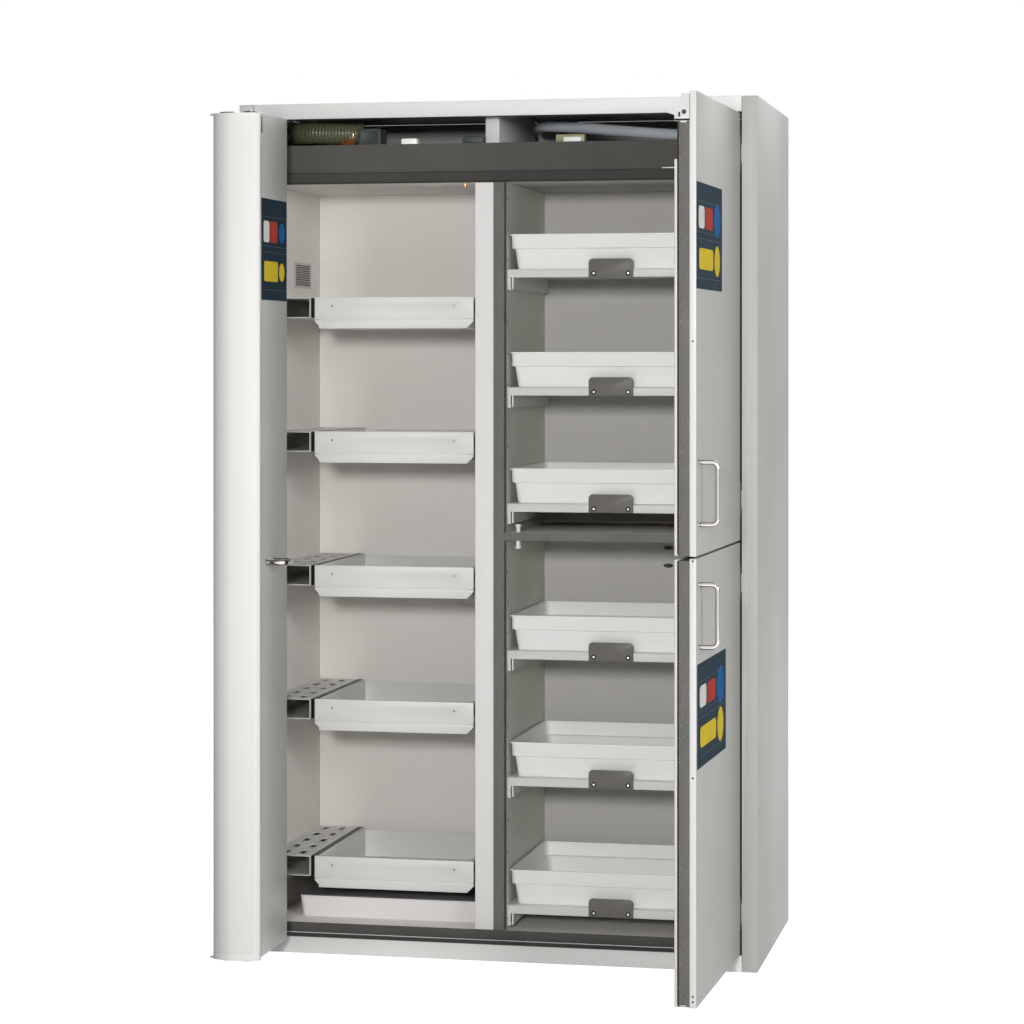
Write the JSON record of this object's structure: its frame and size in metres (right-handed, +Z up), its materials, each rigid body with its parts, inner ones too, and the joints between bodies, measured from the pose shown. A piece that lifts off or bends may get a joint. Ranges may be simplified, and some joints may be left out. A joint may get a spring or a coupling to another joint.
{
  "type": "reagent drawer cabinet",
  "caption": "Tall fire-rated safety cabinet: folding door over pull-out trays on the left, upper and lower wing doors over pull-out tub shelves on the right.",
  "frame": {"origin": "centre of the casing's footprint, on the floor", "axes": "+X to the right as seen from the front, front towards -Y, +Z up"},
  "size_m": [1.2, 1.1722, 1.95],
  "materials": {
    "casing_paint": "light grey powder coat, semi-gloss",
    "white_paint": "white powder coat, semi-gloss",
    "profile_paint": "white powder coat, satin",
    "insert_paint": "dark grey powder coat, matte",
    "fire_board": "matte, resin-faced mineral board",
    "partition_laminate": "matte, resin-faced mineral board",
    "door_core": "matte, dark seal and mineral core",
    "door_panel": "matte, resin-faced mineral board",
    "seal_strip": "matte, dark intumescent strip",
    "tub_plastic": "white moulded plastic, satin",
    "duct": "ribbed flexible duct, dull",
    "arm_steel": "zinc-plated",
    "handle_bar": "bright polished"
  },
  "bodies": {
    "carcass": {"casing_left": "casing_paint", "casing_right": "casing_paint", "casing_rear": "casing_paint", "casing_top": "casing_paint", "casing_base": "casing_paint", "fire_board_left": "fire_board", "fire_board_right": "fire_board", "fire_board_rear": "fire_board", "fire_board_top": "fire_board", "fire_board_bottom": "fire_board", "partition": "partition_laminate", "divider": "fire_board", "seal_beam": "seal_strip", "seal_bottom": "seal_strip", "seal_centre": "seal_strip", "exhaust_duct_left": "duct", "exhaust_duct_right": "duct", "tray_bracket_1": "white_paint", "tray_bracket_2": "white_paint", "tray_bracket_3": "white_paint", "tray_bracket_4": "white_paint", "tray_bracket_5": "white_paint", "tray_runner_panel": "white_paint", "sump_tray": "white_paint", "sump_insert": "insert_paint", "vent_grille": "white_paint", "shelf_runner_panel_inner": "white_paint", "shelf_runner_panel_outer": "white_paint"},
    "fold_rear": {"fold_rear_skin": "casing_paint", "fold_rear_core": "door_core"},
    "fold_profile": {"fold_profile": "profile_paint"},
    "fold_front": {"fold_front_skin": "casing_paint", "fold_front_core": "door_core", "fold_handle": "handle_bar"},
    "guide_arm": {"guide_arm": "arm_steel"},
    "door_upper": {"door_upper_skin": "casing_paint", "door_upper_core": "door_core", "door_upper_inner": "door_panel", "door_upper_handle": "handle_bar"},
    "door_lower": {"door_lower_skin": "casing_paint", "door_lower_core": "door_core", "door_lower_inner": "door_panel", "door_lower_handle": "handle_bar"},
    "tray_1": {"tray_1": "white_paint"},
    "tray_2": {"tray_2": "white_paint"},
    "tray_3": {"tray_3": "white_paint"},
    "tray_4": {"tray_4": "white_paint"},
    "tray_5": {"tray_5": "white_paint"},
    "shelf_1": {"shelf_1": "white_paint", "tub_1": "tub_plastic"},
    "shelf_2": {"shelf_2": "white_paint", "tub_2": "tub_plastic"},
    "shelf_3": {"shelf_3": "white_paint", "tub_3": "tub_plastic"},
    "shelf_4": {"shelf_4": "white_paint", "tub_4": "tub_plastic"},
    "shelf_5": {"shelf_5": "white_paint", "tub_5": "tub_plastic"},
    "shelf_6": {"shelf_6": "white_paint", "tub_6": "tub_plastic"}
  },
  "joints": [
    {"name": "fold_rear_hinge", "type": "hinge", "parent": "carcass", "child": "fold_rear", "pos_m": [-0.54, -0.2845, 0], "axis": [0, 0, -1], "range_deg": [-90, 0]},
    {"name": "fold_profile_hinge", "type": "hinge", "parent": "fold_rear", "child": "fold_profile", "pos_m": [-0.54, -0.5715, 0], "axis": [0, 0, 1], "range_deg": [-90, 0]},
    {"name": "fold_front_hinge", "type": "hinge", "parent": "fold_profile", "child": "fold_front", "pos_m": [-0.491, -0.5715, 0], "axis": [0, 0, 1], "range_deg": [-90, 0]},
    {"name": "guide_arm_hinge", "type": "hinge", "parent": "carcass", "child": "guide_arm", "pos_m": [-0.491, -0.2845, 0], "axis": [0, 0, -1], "range_deg": [-90, 0]},
    {"name": "upper_door_hinge", "type": "hinge", "parent": "carcass", "child": "door_upper", "pos_m": [0.5605, -0.3065, 0], "axis": [0, 0, 1], "range_deg": [-88.1, 4.9]},
    {"name": "lower_door_hinge", "type": "hinge", "parent": "carcass", "child": "door_lower", "pos_m": [0.5605, -0.3065, 0], "axis": [0, 0, 1], "range_deg": [-88.1, 4.9]},
    {"name": "tray_1_slide", "type": "slide", "parent": "carcass", "child": "tray_1", "axis": [0, -1, 0], "range_m": [0, 0.4]},
    {"name": "tray_2_slide", "type": "slide", "parent": "carcass", "child": "tray_2", "axis": [0, -1, 0], "range_m": [0, 0.4]},
    {"name": "tray_3_slide", "type": "slide", "parent": "carcass", "child": "tray_3", "axis": [0, -1, 0], "range_m": [0, 0.4]},
    {"name": "tray_4_slide", "type": "slide", "parent": "carcass", "child": "tray_4", "axis": [0, -1, 0], "range_m": [0, 0.4]},
    {"name": "tray_5_slide", "type": "slide", "parent": "carcass", "child": "tray_5", "axis": [0, -1, 0], "range_m": [0, 0.4]},
    {"name": "shelf_1_slide", "type": "slide", "parent": "carcass", "child": "shelf_1", "axis": [0, -1, 0], "range_m": [0, 0.4]},
    {"name": "shelf_2_slide", "type": "slide", "parent": "carcass", "child": "shelf_2", "axis": [0, -1, 0], "range_m": [0, 0.4]},
    {"name": "shelf_3_slide", "type": "slide", "parent": "carcass", "child": "shelf_3", "axis": [0, -1, 0], "range_m": [0, 0.4]},
    {"name": "shelf_4_slide", "type": "slide", "parent": "carcass", "child": "shelf_4", "axis": [0, -1, 0], "range_m": [0, 0.4]},
    {"name": "shelf_5_slide", "type": "slide", "parent": "carcass", "child": "shelf_5", "axis": [0, -1, 0], "range_m": [0, 0.4]},
    {"name": "shelf_6_slide", "type": "slide", "parent": "carcass", "child": "shelf_6", "axis": [0, -1, 0], "range_m": [0, 0.4]}
  ],
  "couplings": [
    {"joint": "fold_profile_hinge", "follows": "fold_rear_hinge", "ratio": 1},
    {"joint": "fold_front_hinge", "follows": "fold_rear_hinge", "ratio": 1},
    {"joint": "guide_arm_hinge", "follows": "fold_rear_hinge", "ratio": 1}
  ]
}
